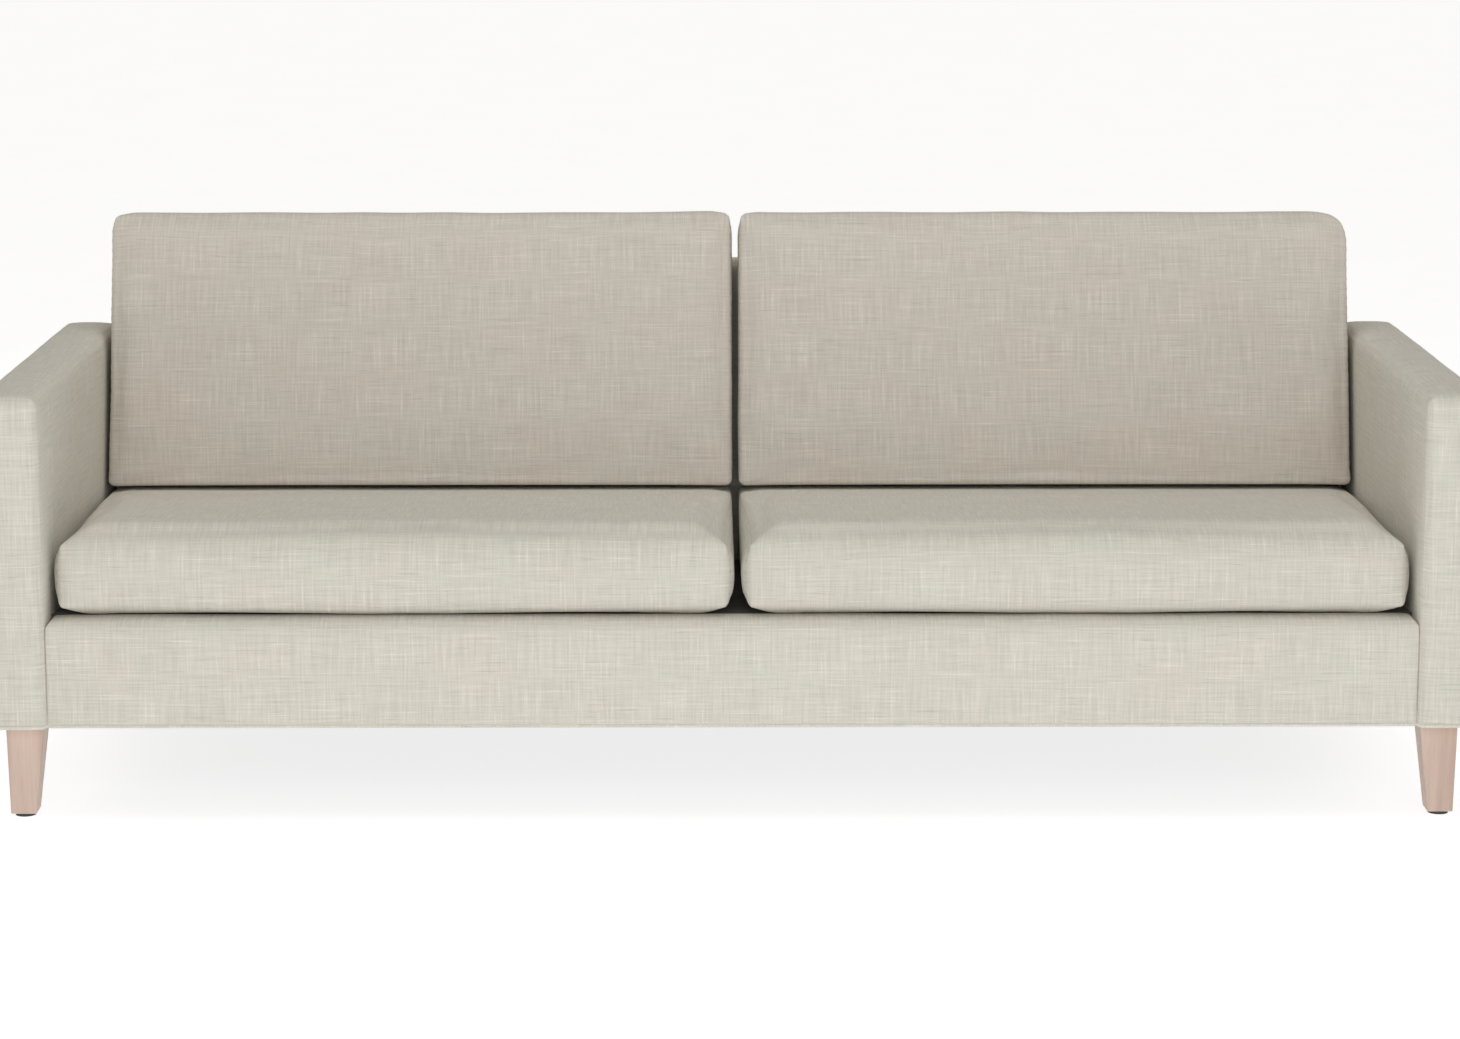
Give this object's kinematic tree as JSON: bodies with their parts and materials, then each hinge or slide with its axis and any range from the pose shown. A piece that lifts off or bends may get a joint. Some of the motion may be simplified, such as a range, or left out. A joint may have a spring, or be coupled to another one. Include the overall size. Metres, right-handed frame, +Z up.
{
  "type": "sofa with wooden legs",
  "caption": "Upholstered sofa with slim track arms, a padded front rail, loose zipped seat and back cushions and tapered pale wooden legs.",
  "frame": {"origin": "middle of the footprint on the floor: half-way between the arms' outer faces, and half-way from the arms' fronts to the back's rearmost edge", "axes": "+X from the left arm to the right arm as seen from the front; +Y from the front to the back; +Z up"},
  "size_m": [2.18, 0.8846, 0.8242],
  "materials": {
    "upholstery": "matte",
    "back_upholstery": "matte",
    "leg_wood": "satin",
    "timber": "matte",
    "fibreboard": "matte",
    "foam": "matte",
    "deck_cloth": "matte",
    "felt": "matte",
    "dust_cloth": "matte",
    "webbing": "matte",
    "zip_tape": "matte",
    "zip_metal": "satin",
    "bare_steel": "satin",
    "spring_steel": "satin",
    "glide_plastic": "matte"
  },
  "bodies": {
    "root": {"leg_front_left": "leg_wood", "leg_front_right": "leg_wood", "leg_rear_left": "leg_wood", "leg_rear_right": "leg_wood", "leg_hanger_bolts": "bare_steel", "leg_tee_nuts": "bare_steel", "leg_glides": "glide_plastic", "arm_left_bottom_rail": "timber", "arm_left_top_rail": "timber", "arm_left_posts": "timber", "arm_left_panels": "fibreboard", "arm_left_foam": "foam", "arm_left_cover": "upholstery", "arm_right_bottom_rail": "timber", "arm_right_top_rail": "timber", "arm_right_posts": "timber", "arm_right_panels": "fibreboard", "arm_right_foam": "foam", "arm_right_cover": "upholstery", "arm_bolts": "bare_steel", "base_front_rail": "timber", "base_rear_rail": "timber", "base_side_rails": "timber", "base_stretcher": "timber", "corner_blocks": "timber", "corner_screws": "bare_steel", "seat_springs": "spring_steel", "spring_clips": "bare_steel", "spring_tie_wires": "spring_steel", "spring_pad": "felt", "deck_cover": "deck_cloth", "front_rail_foam": "foam", "front_rail_cover": "upholstery", "dust_cover": "dust_cloth", "back_posts": "timber", "back_top_rail": "timber", "back_bottom_rail": "timber", "back_webbing_rail": "timber", "back_bolts": "bare_steel", "back_webbing": "webbing", "back_rear_board": "fibreboard", "back_foam": "foam", "back_cover": "upholstery"},
    "seat_cushion_left": {"seat_left_cover": "upholstery", "seat_left_core": "foam", "seat_left_zip": "zip_tape"},
    "seat_cushion_left_zip_slider": {"seat_left_zip_slider": "zip_metal"},
    "seat_cushion_right": {"seat_right_cover": "upholstery", "seat_right_core": "foam", "seat_right_zip": "zip_tape"},
    "seat_cushion_right_zip_slider": {"seat_right_zip_slider": "zip_metal"},
    "back_cushion_left": {"back_left_cover": "back_upholstery", "back_left_core": "foam", "back_left_zip": "zip_tape"},
    "back_cushion_left_zip_slider": {"back_left_zip_slider": "zip_metal"},
    "back_cushion_right": {"back_right_cover": "back_upholstery", "back_right_core": "foam", "back_right_zip": "zip_tape"},
    "back_cushion_right_zip_slider": {"back_right_zip_slider": "zip_metal"}
  },
  "joints": [
    {"name": "seat_left_lift_out", "type": "slide", "parent": "root", "child": "seat_cushion_left", "axis": [0, -0.9976, 0.0698], "range_m": [0, 0.8]},
    {"name": "seat_left_unzip", "type": "slide", "parent": "seat_cushion_left", "child": "seat_cushion_left_zip_slider", "axis": [1, 0, 0], "range_m": [0, 0.8]},
    {"name": "seat_right_lift_out", "type": "slide", "parent": "root", "child": "seat_cushion_right", "axis": [0, -0.9976, 0.0698], "range_m": [0, 0.8]},
    {"name": "seat_right_unzip", "type": "slide", "parent": "seat_cushion_right", "child": "seat_cushion_right_zip_slider", "axis": [1, 0, 0], "range_m": [0, 0.8]},
    {"name": "back_left_lift_off", "type": "slide", "parent": "root", "child": "back_cushion_left", "axis": [0, 0.2756, 0.9613], "range_m": [0, 0.5]},
    {"name": "back_left_unzip", "type": "slide", "parent": "back_cushion_left", "child": "back_cushion_left_zip_slider", "axis": [1, 0, 0], "range_m": [0, 0.8]},
    {"name": "back_right_lift_off", "type": "slide", "parent": "root", "child": "back_cushion_right", "axis": [0, 0.2756, 0.9613], "range_m": [0, 0.5]},
    {"name": "back_right_unzip", "type": "slide", "parent": "back_cushion_right", "child": "back_cushion_right_zip_slider", "axis": [1, 0, 0], "range_m": [0, 0.8]}
  ]
}
